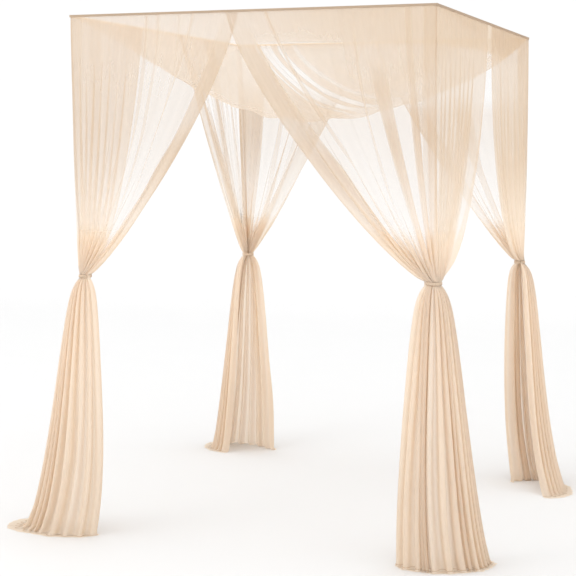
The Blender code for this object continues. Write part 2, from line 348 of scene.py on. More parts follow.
@dataclass(frozen=True)
class VoileFinish:
    """Sheer cream voile, which darkens and closes up where it lies in layers."""

    name: str = "cream_voile"
    # thick is paler than thin: painted light that brightens the cloth gathered at the tie and in
    # the legs, where its folds shade each other
    thin: Colour = linear(219, 199, 176)
    thick: Colour = linear(246, 234, 219)
    seam: Colour = linear(200, 174, 147)
    clear: float = 0.60  # light that one layer lets through
    translucency: float = 0.6
    roughness: float = 0.85
    gloss: float = 0.2
    even_share: float = 0.7  # share of the layers that is the same all over
    streak_share: float = 0.3  # the same in the narrow streaks
    streaks: Span = (48.0, 0.6)  # their repeats across and along the cloth
    streak_detail: float = 2.0
    drift_share: float = 0.3  # the same in the broad drifts
    drifts: Span = (9.0, 0.5)
    drift_detail: float = 1.0
    hem: float = 0.014  # width of the side hems
    hem_start: float = 0.8  # share of a side hem where its inner edge begins
    hem_layers: float = 0.4
    foot_hem: float = 0.032  # width of the hem at the bottom
    foot_start: float = 0.9
    foot_layers: float = 0.8
    stitch: float = 0.002  # a third of the width of the stitch line above that hem
    seam_half: float = 0.004  # half the width of the seam down the corner
    seam_layers: float = 1.2
    seam_tone: float = 0.75  # share of the seam's colour in its line
    yarns: float = 420.0  # yarns a metre in the weave
    low: Span = (1.4, 2.4)  # drop over which painted shade takes the cloth back to the thin tone near the floor
    floor_shade: float = 0.33  # how far that painted shade goes back
    streak_relief: float = 0.5
    weave_relief: float = 0.05
    hem_relief: float = 0.3
    relief: float = 0.25
    relief_height: float = 0.002

    def layered(self, nodes: Nodes) -> Sock:
        """Returns how many layers lie at a point, from what the mesh holds."""
        return nodes.attribute("layers")

    def toned(self, nodes: Nodes) -> Sock:
        """Returns how far the cloth goes from its thin tone to its paler thick one, which is
        painted light.
        """
        return nodes.attribute("gathered")

    def placed(self, nodes: Nodes, repeats: Span) -> Sock:
        """Returns the place on the cloth for streaks that run down it."""
        return nodes.stretched((*repeats, 1.0), Source.CLOTH)

    def sewn(self, nodes: Nodes, foot: Sock) -> Sock:
        """Draws the seam down the corner and the stitches above the hem.

        Args:
            nodes: the material's nodes.
            foot: the distance from the lower edge.

        Returns:
            A value from 0 to 1.
        """
        line = 1.0 - nodes.attribute("corner_edge").smooth(self.seam_half, 2.0 * self.seam_half)
        start = foot.smooth(self.foot_hem, self.foot_hem + self.stitch)
        end = foot.smooth(self.foot_hem + 2.0 * self.stitch, self.foot_hem + 3.0 * self.stitch)
        return line + start * (1.0 - end)

    def build(self) -> Material:
        """Builds the material.

        Returns:
            The material.
        """
        material, nodes = new_material(self.name)
        side, foot = nodes.attribute("side_edge"), nodes.attribute("foot_edge")
        streaks = nodes.noise(self.placed(nodes, self.streaks), self.streak_detail)
        drifts = nodes.noise(self.placed(nodes, self.drifts), self.drift_detail)
        above = foot.smooth(self.foot_hem * self.foot_start, self.foot_hem)
        hems = (1.0 - side.smooth(self.hem * self.hem_start, self.hem)) * self.hem_layers
        hems = hems + (1.0 - above) * self.foot_layers
        uneven = streaks * self.streak_share + drifts * self.drift_share + self.even_share
        line = self.sewn(nodes, foot)
        amount = self.layered(nodes) * uneven + hems
        cover = 1.0 - (amount + line * self.seam_layers).power_of(self.clear)
        # Painted shade: the cloth darkens back towards its thin tone as it nears the floor, all but
        # its foot hem.
        low = (nodes.axis("Z", Source.PIECE) * -1.0).smooth(*self.low) * above
        sewn = line * self.seam_tone
        # Painted light: tone moves the gathered cloth to the paler thick colour.
        tone = self.toned(nodes) * (1.0 - low * self.floor_shade) * (1.0 - sewn)
        colour = nodes.blend(sewn, nodes.blend(tone, self.thin, self.thick), self.seam)
        weft, warp = nodes.waves(self.yarns, Source.CLOTH)
        height = streaks * self.streak_relief + weft * warp * self.weave_relief
        height = height + hems * self.hem_relief
        normal = nodes.bump(height, self.relief, self.relief_height)
        # Painted light as well: a thin and a paler thick copy of the light through the cloth, mixed
        # by the same tone.
        thin, thick = nodes.lit_through(self.thin, normal), nodes.lit_through(self.thick, normal)
        lit = nodes.lit(colour, normal, self.roughness, self.gloss)
        lit = nodes.mix_shaders(self.translucency, lit, nodes.mix_shaders(tone, thin, thick))
        open_weave = nodes.out(nodes.add("ShaderNodeBsdfTransparent"))
        finish_material(nodes, nodes.mix_shaders(cover, open_weave, lit))
        return material


@dataclass(frozen=True)
class RoofFinish(VoileFinish):
    """The same voile on the roof, doubled along the folds that run from corner to corner."""

    name: str = "cream_voile_roof"
    thin: Colour = linear(220, 201, 177)
    thick: Colour = linear(229, 213, 195)
    streaks: Span = (34.0, 1.5)
    drifts: Span = (8.0, 1.0)
    even: float = 0.7  # layers in the plain parts
    brim: float = 0.8  # layers in the strip along the front edge at its left end
    brim_end: float = 2.8  # the same at its right end
    brim_down: Span = (-0.10, 0.06)
    brim_foot: Span = (0.122, 0.140)  # depth at which the strip ends
    brim_right: Span = (-0.5, 0.9)
    hollow: float = 0.12  # layers in the slope below that strip
    slope_down: Span = (0.02, 0.16)
    slope_fan: Span = (-0.12, 0.16)
    slope_across: Span = (-0.28, -0.08)
    rear_down: Span = (-0.34, -0.16)
    warm_across: Span = (-0.2, 0.8)
    rear: tuple[Span, ...] = (
        (0.000, 1.8), (0.110, 2.0), (0.150, 2.6), (0.166, 2.7), (0.174, 0.3), (0.184, 0.1),
        (0.192, 2.2), (0.212, 2.2), (0.220, 0.1), (0.252, 0.05), (0.256, 0.7), (0.262, 0.05),
        (0.292, 0.05), (0.300, 2.3), (0.330, 2.4), (0.338, 0.05), (0.370, 0.15), (0.378, 2.2),
        (0.424, 2.3), (0.434, 1.0), (0.450, 1.1), (0.462, 2.2), (0.540, 2.1), (0.600, 1.9),
        (1.000, 1.9),
    )  # layers across the folds behind, from the left

    def layered(self, nodes: Nodes) -> Sock:
        """Doubles the cloth in the front strip and the rear folds and opens it between them.

        Args:
            nodes: the material's nodes.

        Returns:
            How many layers lie at a point.
        """
        fan, down, across = (nodes.attribute(name) for name in ("fan", "down", "across"))
        below = nodes.attribute("depth").smooth(*self.brim_foot)
        rise = across.smooth(*self.brim_right) * (self.brim_end - self.brim)
        brim = down.smooth(*self.brim_down) * (1.0 - below) * (rise + (self.brim - self.even))
        slope = down.smooth(*self.slope_down) * (1.0 - fan.smooth(*self.slope_fan))
        slope = slope * below * across.smooth(*self.slope_across)
        plain = brim - slope * (self.even - self.hollow) + self.even
        rear = 1.0 - down.smooth(*self.rear_down)
        return plain * (1.0 - rear) + nodes.ramp(fan, self.rear) * rear

    def toned(self, nodes: Nodes) -> Sock:
        """Returns the tone, which is warmer towards the right."""
        return 1.0 - nodes.attribute("across").smooth(*self.warm_across)

    def placed(self, nodes: Nodes, repeats: Span) -> Sock:
        """Returns the place for streaks that follow the folds from corner to corner."""
        fan, down = nodes.attribute("fan"), nodes.attribute("down")
        return nodes.joined(fan * repeats[0], down * repeats[1])


@dataclass(frozen=True)
class TapeFinish:
    """A firmer cream tape with a fine rib, a row of stitches and a firmer upper fold."""

    name: str
    base: Colour
    dark: Colour
    fold: float = -0.0035  # height of the upper fold
    fold_half: float = 0.001
    translucency: float = 0.35
    roughness: float = 0.8
    gloss: float = 0.3
    ribs: float = 900.0  # ribs a metre
    stitches: float = 280.0  # stitches a metre
    blotches: tuple[float, float, float] = (60.0, 60.0, 160.0)
    blotch_detail: float = 3.0
    blotch_tone: float = 0.5
    rib_tone: float = 0.15
    stitch_tone: float = 0.08
    fold_tone: float = 0.5
    rib_relief: float = 0.4
    stitch_relief: float = 0.3
    relief: float = 0.5
    relief_height: float = 0.001

    def build(self) -> Material:
        """Builds the material.

        Returns:
            The material.
        """
        material, nodes = new_material(self.name)
        rib_x, rib_y = nodes.waves(self.ribs, Source.PIECE)
        stitch_x, stitch_y = nodes.waves(self.stitches, Source.PIECE)
        rib, stitch = rib_x * rib_y, stitch_x + stitch_y
        blotches = nodes.noise(nodes.stretched(self.blotches, Source.PIECE), self.blotch_detail)
        height = nodes.axis("Z", Source.PIECE)
        upper = height.smooth(self.fold - self.fold_half, self.fold + self.fold_half)
        tone = blotches * self.blotch_tone + rib * self.rib_tone
        tone = tone + stitch * self.stitch_tone + upper * self.fold_tone
        relief = rib * self.rib_relief + blotches + stitch * self.stitch_relief
        normal = nodes.bump(relief, self.relief, self.relief_height)
        colour = nodes.blend(tone, self.base, self.dark)
        lit = nodes.lit(colour, normal, self.roughness, self.gloss)
        through = nodes.lit_through(self.base, normal)
        finish_material(nodes, nodes.mix_shaders(self.translucency, lit, through))
        return material


@dataclass(frozen=True)
class StageFinish:
    """The pale matt floor and its sweep."""

    name: str = "pale_floor"
    base: Colour = (0.71, 0.71, 0.71)
    grain: float = 3.0  # repeats a metre
    grain_detail: float = 2.0
    shade: float = 0.99
    roughness: float = 0.9

    def build(self) -> Material:
        """Builds the material.

        Returns:
            The material.
        """
        material, nodes = new_material(self.name)
        place = nodes.stretched((self.grain, self.grain, self.grain), Source.PIECE)
        grain = nodes.noise(place, self.grain_detail)
        colour = nodes.blend(grain, self.base, tuple(self.shade * c for c in self.base))
        values = {"Base Color": colour, "Roughness": self.roughness}
        finish_material(nodes, nodes.out(nodes.add("ShaderNodeBsdfPrincipled", None, values)))
        return material


# Modelling helpers


def deselect_all() -> None:
    """Deselects every object."""
    for item in bpy.context.selected_objects:
        item.select_set(False)


def report(piece: Object) -> None:
    """Reports a finished piece."""
    LOG.info("%s: %d faces", piece.name, len(piece.data.polygons))


def dress(piece: Object, material: Material) -> None:
    """Gives a piece its one material."""
    piece.data.materials.clear()
    piece.data.materials.append(material)


def settle(piece: Object, material: Material, slot: str, *nodes: str) -> None:
    """Dresses a finished piece and ties it to the frame.

    Args:
        piece: the finished piece, at the origin.
        material: its material.
        slot: not used.
        nodes: the solids that it stands for.
    """
    dress(piece, material)
    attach(piece, "root")
    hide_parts(*nodes)


def sheet_from_rows(name: str, points: Array, flat: Array, numbers: dict[str, Array]) -> Object:
    """Makes an open sheet by adding a grid and moving its points into place.

    Args:
        name: the piece's name.
        points: rows x columns x 3 places.
        flat: rows x columns x 2 places on the flat cloth, in metres.
        numbers: named numbers for each point.

    Returns:
        The sheet.
    """
    rows, columns, _ = points.shape
    deselect_all()
    bpy.ops.mesh.primitive_grid_add(x_subdivisions=columns - 1, y_subdivisions=rows - 1, size=1.0)
    sheet = bpy.context.object
    sheet.name = name
    mesh = sheet.data
    mesh.name = name
    mesh.vertices.foreach_set("co", points.reshape(-1).astype(np.float32))
    corner_points = np.zeros(len(mesh.loops), np.int32)
    mesh.loops.foreach_get("vertex_index", corner_points)
    uv = flat.reshape(-1, 2)[corner_points]
    mesh.uv_layers[0].data.foreach_set("uv", uv.reshape(-1).astype(np.float32))
    for key, values in numbers.items():
        attribute = mesh.attributes.new(key, "FLOAT", "POINT")
        attribute.data.foreach_set("value", values.reshape(-1).astype(np.float32))
    mesh.shade_smooth()
    mesh.update()
    return sheet


def smooth_step(low: float, high: float, value: Array) -> Array:
    """Goes softly from 0 at `low` to 1 at `high`."""
    share = np.clip((value - low) / (high - low), 0.0, 1.0)
    return share * share * (3.0 - 2.0 * share)


def past(edge: float, half: float, value: Array) -> Array:
    """Goes softly from 0 to 1 across an edge."""
    return smooth_step(edge - half, edge + half, value)


def running(steps: Array) -> Array:
    """Returns the running sum of steps, from 0."""
    return np.concatenate([[0.0], np.cumsum(steps)])


def near_edge(distance: Array) -> Array:
    """Returns a distance from an edge as a mesh holds it."""
    return np.clip(distance, 0.0, EDGE_FAR)


def wander(values: Array, waves: tuple[Span, ...], seed: float) -> Array:
    """Adds a few sine waves of odd lengths, for an uneven line that is the same each run.

    Args:
        values: where along the line.
        waves: a length and a size for each wave.
        seed: shifts the waves.

    Returns:
        The sum of the waves.
    """
    return sum(
        size * np.sin(FULL_TURN * values / length + seed * (SEED_TURN + WAVE_TURN * number))
        for number, (length, size) in enumerate(waves)
    )


# Curtains


@dataclass(frozen=True)
class Corner:
    """Sizes of one corner's curtain, as the solids have them."""

    name: str
    right: int
    back: int
    across: float
    along: float
    across_hang: Hang
    along_hang: Hang
    inset: float
    tie: tuple[float, float]
    tie_drop: float
    tie_radius: float
    foot: tuple[float, float]
    foot_wide: float
    foot_deep: float
    foot_turn: float
    foot_fold: float
    bell: float
    puddle: float
    tip: float
    tip_turn: float
    folds: tuple[Fold, ...]
    bands: tuple[Band, ...]
    cut: tuple[float, float]  # width and length of the flat cloth
    seed: float

    @property
    def outward(self) -> float:
        """Direction from the canopy's middle out through the corner."""
        return math.atan2(self.back, self.right)

    @property
    def top(self) -> tuple[float, float]:
        """X and Y of the corner of the top rectangle."""
        return self.right * WIDTH / 2, LENGTH if self.back > 0 else 0.0

    @property
    def tied(self) -> tuple[float, float]:
        """X and Y of the middle of the tie."""
        return self.top[0] + self.tie[0], self.top[1] + self.tie[1]


@dataclass
class Curtain:
    """One sheet of voile that hangs round a corner and folds up as it is drawn together."""

    corner: Corner
    columns: int = 440
    upper_rows: int = 66
    lower_rows: int = 58
    floor_rows: int = 14
    upper_crowd: float = 1.7  # above 1, the rows crowd towards the tie from above
    lower_crowd: float = 1.5  # and from below
    floor_steps: tuple[float, ...] = (0.0, 0.35, 0.55, 1.0)
    floor_levels: tuple[float, ...] = (0.9, 0.985, 1.0, 1.0)  # share of the way down at each step
    floor_reach: tuple[float, ...] = (0.0, 0.10, 0.35, 1.0)  # and how far out it lies
    fold_growth: float = 1.45
    fold_rise: float = 0.75
    fold_close: float = 0.45
    leg_fold_rise: float = 0.6
    wrap: float = math.radians(112)
    throat_bulge: float = 0.028
    bulge_drop: float = 0.035
    lean_steady: float = 0.45
    lean_late: float = 5.0
    tip_spread: float = math.radians(50)
    least_weight: float = 0.75
    most_weight: float = 1.15
    widest_fold: float = 0.15  # cloth in one fold, past which smaller folds share it
    small_depth: float = 0.7  # depth of a smaller fold, as a share of its neighbours'
    small_leg: float = 0.9
    small_weight: float = 0.85
    small_shift: float = 0.05
    small_turns: Span = (3.7, 9.0)  # its radians for each small fold and each metre
    most_swing: float = 2.15  # steepest that a fold's flank turns, in radians
    swing_steps: int = 90
    turn_steps: int = 200
    share_soft: float = 0.06  # length of cloth over which its turn round the tie is evened out
    fold_soft: float = 0.02  # the same for its folds
    even_over: float = 0.10  # and for how tightly they take it up
    pleat_length: float = 0.046
    pleat_swing: float = 0.26
    pleat_even: float = 0.55  # share of the small pleats that is the same all along
    pleat_turn: float = 5.1  # radians a metre of the rest of them
    pleat_flat: float = 0.4  # share of them that shows where the cloth is flat
    pleat_wander: float = 3.0
    fold_waves: tuple[Span, ...] = ((0.53, 0.5), (0.21, 0.25))
    fold_drift: float = 0.3
    fold_wander: float = 0.5
    wander_rise: float = 3.0
    throat_room: float = 0.72  # depth of the folds in the tie, as a share of its radius
    top_room: float = 0.16  # further depth that they may have at the top edge
    top_room_rise: float = 0.8
    leg_room: float = 0.29  # and in the leg, as a share of what it is deeper than the tie
    edge_reach: float = 0.05
    crowding: float = 0.35  # how much of the cloth's crowding shows as further layers
    most_crowd: float = 7.0
    least_thin: float = 0.42  # least share of a layer that one crossing of a fold counts for
    least_layers: float = 0.15
    leg_layers: float = 4.5
    leg_fine: float = 0.5  # share of the small pleats below the tie
    puddle_calm: float = 0.85  # how far the folds open out on the floor
    throat_level: float = 0.80  # where the cloth closes up above the tie
    gathered: Span = (0.40, 0.92)  # shares of the tie's drop between which its tone changes to the paler thick one, which is painted light
    band_side: float = 0.004  # half the width over which a band's side fades
    band_first: float = 0.09  # the same for its upper end
    band_last: float = 0.05  # and its lower end
    leg_fade: float = 0.85  # share of the bands' layers that is gone in the leg
    leg_fade_ends: Span = (-0.05, 0.15)  # from the tie
    place: Array = field(init=False)
    share: Array = field(init=False)
    crests: Array = field(init=False)
    valleys: Array = field(init=False)
    phase: Array = field(init=False)
    weight: Array = field(init=False)
    upper: Array = field(init=False)
    lower: Array = field(init=False)
    swings: Array = field(init=False)
    cosines: Array = field(init=False)

    def __post_init__(self) -> None:
        """Lays out the cloth's columns and where its folds stand."""
        corner = self.corner
        self.place = np.linspace(-corner.across, corner.along, self.columns)
        knots = self.knots()
        self.share = np.interp(self.place, knots, np.linspace(-1.0, 1.0, len(knots)))
        self.share = self.evened(self.share, self.share_soft)
        places, depths, legs, weights = self.folds()
        middles = [(a + b) / 2 for a, b in zip(places, places[1:])]
        marks = [self.place[0], *sorted([*places, *middles]), self.place[-1]]
        turns = [0.0, *[math.pi / 2 + math.pi * number for number in range(len(marks) - 2)]]
        turns.append(turns[-1] + math.pi / 2)
        self.phase = self.evened(np.interp(self.place, marks, turns), self.fold_soft)
        self.crests = np.searchsorted(self.place, places)
        self.valleys = np.array([0, *np.searchsorted(self.place, middles), self.columns - 1])
        self.weight = np.interp(self.place, places, weights)
        self.upper = np.interp(self.place, places, depths)
        self.lower = np.interp(self.place, places, legs)
        self.swings = np.linspace(0.0, self.most_swing, self.swing_steps)
        round_once = np.linspace(0.0, FULL_TURN, self.turn_steps, endpoint=False)
        self.cosines = np.cos(np.outer(self.swings, np.cos(round_once))).mean(axis=1)

    def knots(self) -> list[float]:
        """Finds the places that share the turn round the tie evenly, as the solids have them.

        Returns:
            The places along the cloth.
        """
        corner = self.corner
        knots = [-corner.across]
        for fold, after in zip(corner.folds, (*corner.folds[1:], None)):
            knots += [fold.place - fold.half_width, fold.place, fold.place + fold.half_width]
            if after is not None:
                start, end = fold.place + fold.half_width, after.place - after.half_width
                knots.append(0.0 if start < 0.0 < end else (start + end) / 2)
        return [*knots, corner.along]

    def folds(self) -> tuple[list[float], list[float], list[float], list[float]]:
        """Lists the main folds and the small folds in the wide gaps between them.

        Returns:
            Each fold's place, its depth, its depth in the leg and its weight.
        """
        corner = self.corner
        mean = sum(fold.depth for fold in corner.folds) / len(corner.folds)
        rows = []
        for fold, after in zip(corner.folds, (*corner.folds[1:], None)):
            weight = min(self.most_weight, max(self.least_weight, fold.depth / mean))
            rows.append((fold.place, fold.depth, fold.leg * corner.foot_fold, weight))
            if after is None:
                continue
            gap = after.place - fold.place
            extra = max(0, math.ceil(gap / self.widest_fold) - 1)
            for number in range(1, extra + 1):
                turn = self.small_turns[0] * number + self.small_turns[1] * fold.place
                part = number / (extra + 1) + self.small_shift * math.sin(turn)
                depth = self.small_depth * ((1.0 - part) * fold.depth + part * after.depth)
                leg = self.small_leg * ((1.0 - part) * fold.leg + part * after.leg)
                row = (fold.place + part * gap, depth, leg * corner.foot_fold, self.small_weight)
                rows.append(row)
        return tuple(list(column) for column in zip(*rows))

    def evened(self, values: Array, length: float) -> Array:
        """Evens out numbers along the cloth.

        Args:
            values: a number for each column.
            length: the length of cloth over which they are evened out.

        Returns:
            The evened numbers.
        """
        step = self.place[1] - self.place[0]
        reach = max(1, round(length / step / 2))
        kernel = np.hanning(2 * reach + 3)[1:-1]
        kernel = kernel / kernel.sum()
        before = 2 * values[0] - values[reach:0:-1]
        after = 2 * values[-1] - values[-2 : -reach - 2 : -1]
        return np.convolve(np.concatenate([before, values, after]), kernel, "valid")

    def turn(self) -> Array:
        """Returns each column's direction round the tie."""
        corner = self.corner
        return corner.outward - corner.right * corner.back * self.share * self.wrap

    def held_out(self, level: float) -> Array:
        """Finds how far each column still follows the top edge.

        Args:
            level: share of the way down to the tie.

        Returns:
            A value from 1 at the top edge to 0 at the tie.
        """
        corner, side = self.corner, past(0.0, CORNER_TURN, self.place)
        across, along = corner.across_hang.held(level), corner.along_hang.held(level)
        return across * (1.0 - side) + along * side

    def angles(self, part: Array, level: float, fine: float) -> Array:
        """Finds how steeply the cloth turns off its path between its columns.

        Args:
            part: the length of path for each length of cloth.
            level: share of the way down, which lets the small pleats drift.
            fine: share of the small pleats that shows.

        Returns:
            The angles, in radians.
        """
        place, seed = self.place, self.corner.seed
        swing = np.interp(part, self.cosines[::-1], self.swings[::-1])
        wander_by = wander(place + self.fold_drift * level, self.fold_waves, seed)
        small = FULL_TURN * place / self.pleat_length + self.pleat_wander * wander_by
        shift = self.fold_wander * wander_by * min(1.0, level * self.wander_rise)
        main = swing * self.weight * np.cos(self.phase + shift)
        uneven = self.pleat_even + (1.0 - self.pleat_even) * np.sin(self.pleat_turn * place + seed)
        shown = self.pleat_flat + (1.0 - self.pleat_flat) * np.clip(swing, 0.0, 1.0)
        angle = main + fine * self.pleat_swing * uneven * shown * np.cos(small)
        return (angle[1:] + angle[:-1]) / 2

    def folded(
        self, base: Array, facing: Array, proud: Array, room: float, level: float, fine: float = 1.0
    ) -> tuple[Array, Array]:
        """Folds the cloth along a row, so that its whole width fits the row's path.

        Args:
            base: the path, columns x 2.
            facing: the direction out of the path at each column.
            proud: how far the folds' crests stand out of the path.
            room: the deepest that a fold may be.
            level: share of the way down, which lets the small pleats drift.
            fine: share of the small pleats that shows.

        Returns:
            columns x 2 places, and how many layers lie at each.
        """
        place, cloth = self.place, np.diff(self.place)
        step = np.linalg.norm(np.diff(base, axis=0), axis=1)
        run, part = running(step), step / cloth
        part = np.concatenate([part[:1], part])
        part = np.clip(self.evened(part, self.even_over), 0.0, 1.0)
        angle = self.angles(part, level, fine)
        along, away = running(np.cos(angle) * cloth), running(np.sin(angle) * cloth)
        pins = place[self.valleys]
        along = along + np.interp(place, pins, (run - along)[self.valleys])
        away = away - np.interp(place, pins, away[self.valleys])
        crest = np.interp(place, place[self.crests], away[self.crests])
        shrink = np.minimum(1.0, room / np.maximum(crest, TINY))
        along = run + (along - run) * shrink
        out = proud - crest * shrink + away * shrink
        first = out[0] * np.exp(-(place - place[0]) / self.edge_reach)
        last = out[-1] * np.exp(-(place[-1] - place) / self.edge_reach)
        out = out - first - last
        along = np.clip(along, 0.0, run[-1])
        facing = np.interp(along, run, facing)
        x = np.interp(along, run, base[:, 0]) + out * np.cos(facing)
        y = np.interp(along, run, base[:, 1]) + out * np.sin(facing)
        places = np.stack([x, y], axis=1)
        length = np.linalg.norm(np.gradient(places, axis=0), axis=1)
        crowd = np.clip(np.gradient(place) / np.maximum(length, TINY), 1.0, self.most_crowd)
        crowd = 1.0 + self.crowding * (self.evened(crowd, self.fold_soft) - 1.0)
        return places, crowd * np.clip(part, self.least_thin, 1.0)

    def upper_row(self, level: float) -> tuple[Array, Array]:
        """Makes a row between the top edge and the tie.

        Args:
            level: share of the way from the top edge to the tie.

        Returns:
            columns x 3 places, and the layers at each.
        """
        corner, place = self.corner, self.place
        turn, held = self.turn(), self.held_out(level)
        top_x = corner.top[0] - corner.right * corner.inset
        top_x = top_x + corner.right * np.minimum(place, 0.0)
        top_y = corner.top[1] - corner.back * corner.inset
        top_y = top_y - corner.back * np.maximum(place, 0.0)
        x = held * top_x + (1.0 - held) * (corner.tied[0] + corner.tie_radius * np.cos(turn))
        y = held * top_y + (1.0 - held) * (corner.tied[1] + corner.tie_radius * np.sin(turn))
        turned = np.clip(place / CORNER_TURN, -1.0, 1.0) * math.pi / 4
        plane = corner.outward - corner.right * corner.back * turned
        facing = held * plane + (1.0 - held) * turn
        growth = self.fold_growth * level**self.fold_rise * (1.0 - level) ** self.fold_close
        room = self.top_room * float(held.mean()) ** self.top_room_rise
        room = self.throat_room * corner.tie_radius + room
        base = np.stack([x, y], axis=1)
        places, layers = self.folded(base, facing, self.upper * growth, room, level)
        start = BINDING_TALL + GAP
        z = -start - level * (corner.tie_drop - THROAT_HALF - start)
        closed = smooth_step(self.throat_level, 1.0, level)
        layers = layers * (1.0 - closed) + self.leg_layers * closed
        return np.column_stack([places, np.full(self.columns, z)]), layers

    def lower_row(self, level: float, puddle: float = 0.0) -> tuple[Array, Array]:
        """Makes a row below the tie.

        Args:
            level: share of the way from the tie to the floor.
            puddle: share of the way out along the floor.

        Returns:
            columns x 3 places, and the layers at each.
        """
        corner, turn = self.corner, self.turn()
        lean = self.lean_steady * level + (1.0 - self.lean_steady) * level**self.lean_late
        middle_x = corner.tied[0] + corner.foot[0] * lean
        middle_y = corner.tied[1] + corner.foot[1] * lean
        spread = level**corner.bell
        swollen = self.throat_bulge * (1.0 - math.exp(-level / self.bulge_drop))
        swollen = corner.tie_radius + swollen
        wide = swollen + (corner.foot_wide - corner.tie_radius - self.throat_bulge) * spread
        deep = swollen + (corner.foot_deep - corner.tie_radius - self.throat_bulge) * spread
        lobe = turn - math.radians(corner.tip_turn) + math.pi
        lobe = (np.remainder(lobe, FULL_TURN) - math.pi) / self.tip_spread
        reach = (corner.puddle + corner.tip * np.exp(-(lobe**2))) * puddle
        axis = math.radians(corner.foot_turn)
        cos, sin = np.cos(turn - axis), np.sin(turn - axis)
        along, aside = cos * (wide + reach), sin * (deep + reach)
        x = middle_x + along * math.cos(axis) - aside * math.sin(axis)
        y = middle_y + along * math.sin(axis) + aside * math.cos(axis)
        base = np.stack([x, y], axis=1)
        facing = np.unwrap(np.arctan2(sin * wide, cos * deep)) + axis
        room = self.throat_room * corner.tie_radius + self.leg_room * (deep - corner.tie_radius)
        room = room * (1.0 - self.puddle_calm * puddle)
        proud = self.lower * level**self.leg_fold_rise
        places, _ = self.folded(base, facing, proud, room, 1.0 - level, self.leg_fine)
        start = corner.tie_drop + THROAT_HALF
        z = np.full(self.columns, -start - level * (HEIGHT - LYING - start))
        return np.column_stack([places, z]), np.full(self.columns, self.leg_layers)

    def rows(self) -> tuple[Array, Array]:
        """Makes every row of the curtain, from the top edge to the end of its puddle.

        Returns:
            rows x columns x 3 places, and the layers at each.
        """
        share = np.linspace(0.0, 1.0, self.upper_rows)
        made = [self.upper_row(1.0 - (1.0 - t) ** self.upper_crowd) for t in share]
        share = np.linspace(0.0, 1.0, self.lower_rows)
        made += [self.lower_row(self.floor_levels[0] * t**self.lower_crowd) for t in share]
        for t in np.linspace(0.0, 1.0, self.floor_rows + 1)[1:]:
            level = float(np.interp(t, self.floor_steps, self.floor_levels))
            puddle = float(np.interp(t, self.floor_steps, self.floor_reach))
            made.append(self.lower_row(level, puddle))
        return np.array([row for row, _ in made]), np.array([layers for _, layers in made])

    def banded(self, height: Array) -> Array:
        """Adds up the bands where the cloth is doubled over.

        Args:
            height: the height of each row.

        Returns:
            Further layers, rows x columns.
        """
        total = np.zeros((len(height), self.columns))
        drop, side, place = self.corner.tie_drop, self.band_side, self.place
        for number, z in enumerate(height):
            down = min(1.0, -z / drop)
            for band in self.corner.bands:
                start = band.start + (band.low_start - band.start) * down
                end = band.end + (band.low_end - band.end) * down
                inside = past(start, side, place) * (1.0 - past(end, side, place))
                if band.first > 0.0:
                    inside = inside * past(band.first, self.band_first, down)
                if band.last < 1.0:
                    inside = inside * (1.0 - past(band.last, self.band_last, down))
                total[number] += inside * band.layers
            fade = smooth_step(drop + self.leg_fade_ends[0], drop + self.leg_fade_ends[1], -z)
            total[number] *= 1.0 - self.leg_fade * fade
        return total

    def build(self, material: Material) -> Object:
        """Args:
            material: the voile.

        Returns:
            The curtain's sheet.
        """
        corner = self.corner
        points, layers = self.rows()
        height = points[:, :, 2].mean(axis=1)
        steps = np.linalg.norm(np.diff(points, axis=0, prepend=points[:1]), axis=2)
        fall = np.cumsum(steps, axis=0)
        fall = fall.mean(axis=1, keepdims=True) * np.ones_like(fall)
        cloth = np.broadcast_to(self.place[None, :], fall.shape)
        flat = np.stack([cloth, fall], axis=2)
        edge = np.minimum(cloth + corner.across, corner.along - cloth)
        numbers = {
            "layers": np.maximum(self.least_layers, layers * (1.0 + self.banded(height))),
            "corner_edge": near_edge(np.abs(cloth)),
            # how far the cloth takes the paler thick tone, which is painted light
            "gathered": smooth_step(*self.gathered, -points[:, :, 2] / corner.tie_drop),
            "side_edge": near_edge(edge),
            "foot_edge": near_edge(fall[-1:, :] - fall),
        }
        sheet = sheet_from_rows("curtain_cloth_" + corner.name, points, flat, numbers)
        if corner.right * corner.back < 0:
            sheet.data.flip_normals()
        settle(sheet, material, "voile", "curtain_" + corner.name)
        return sheet


# Roof, binding and ties


class Ridge(NamedTuple):
    """One fold of the roof that runs from the back left to the front right."""

    across: float
    half_width: float
    depth: float


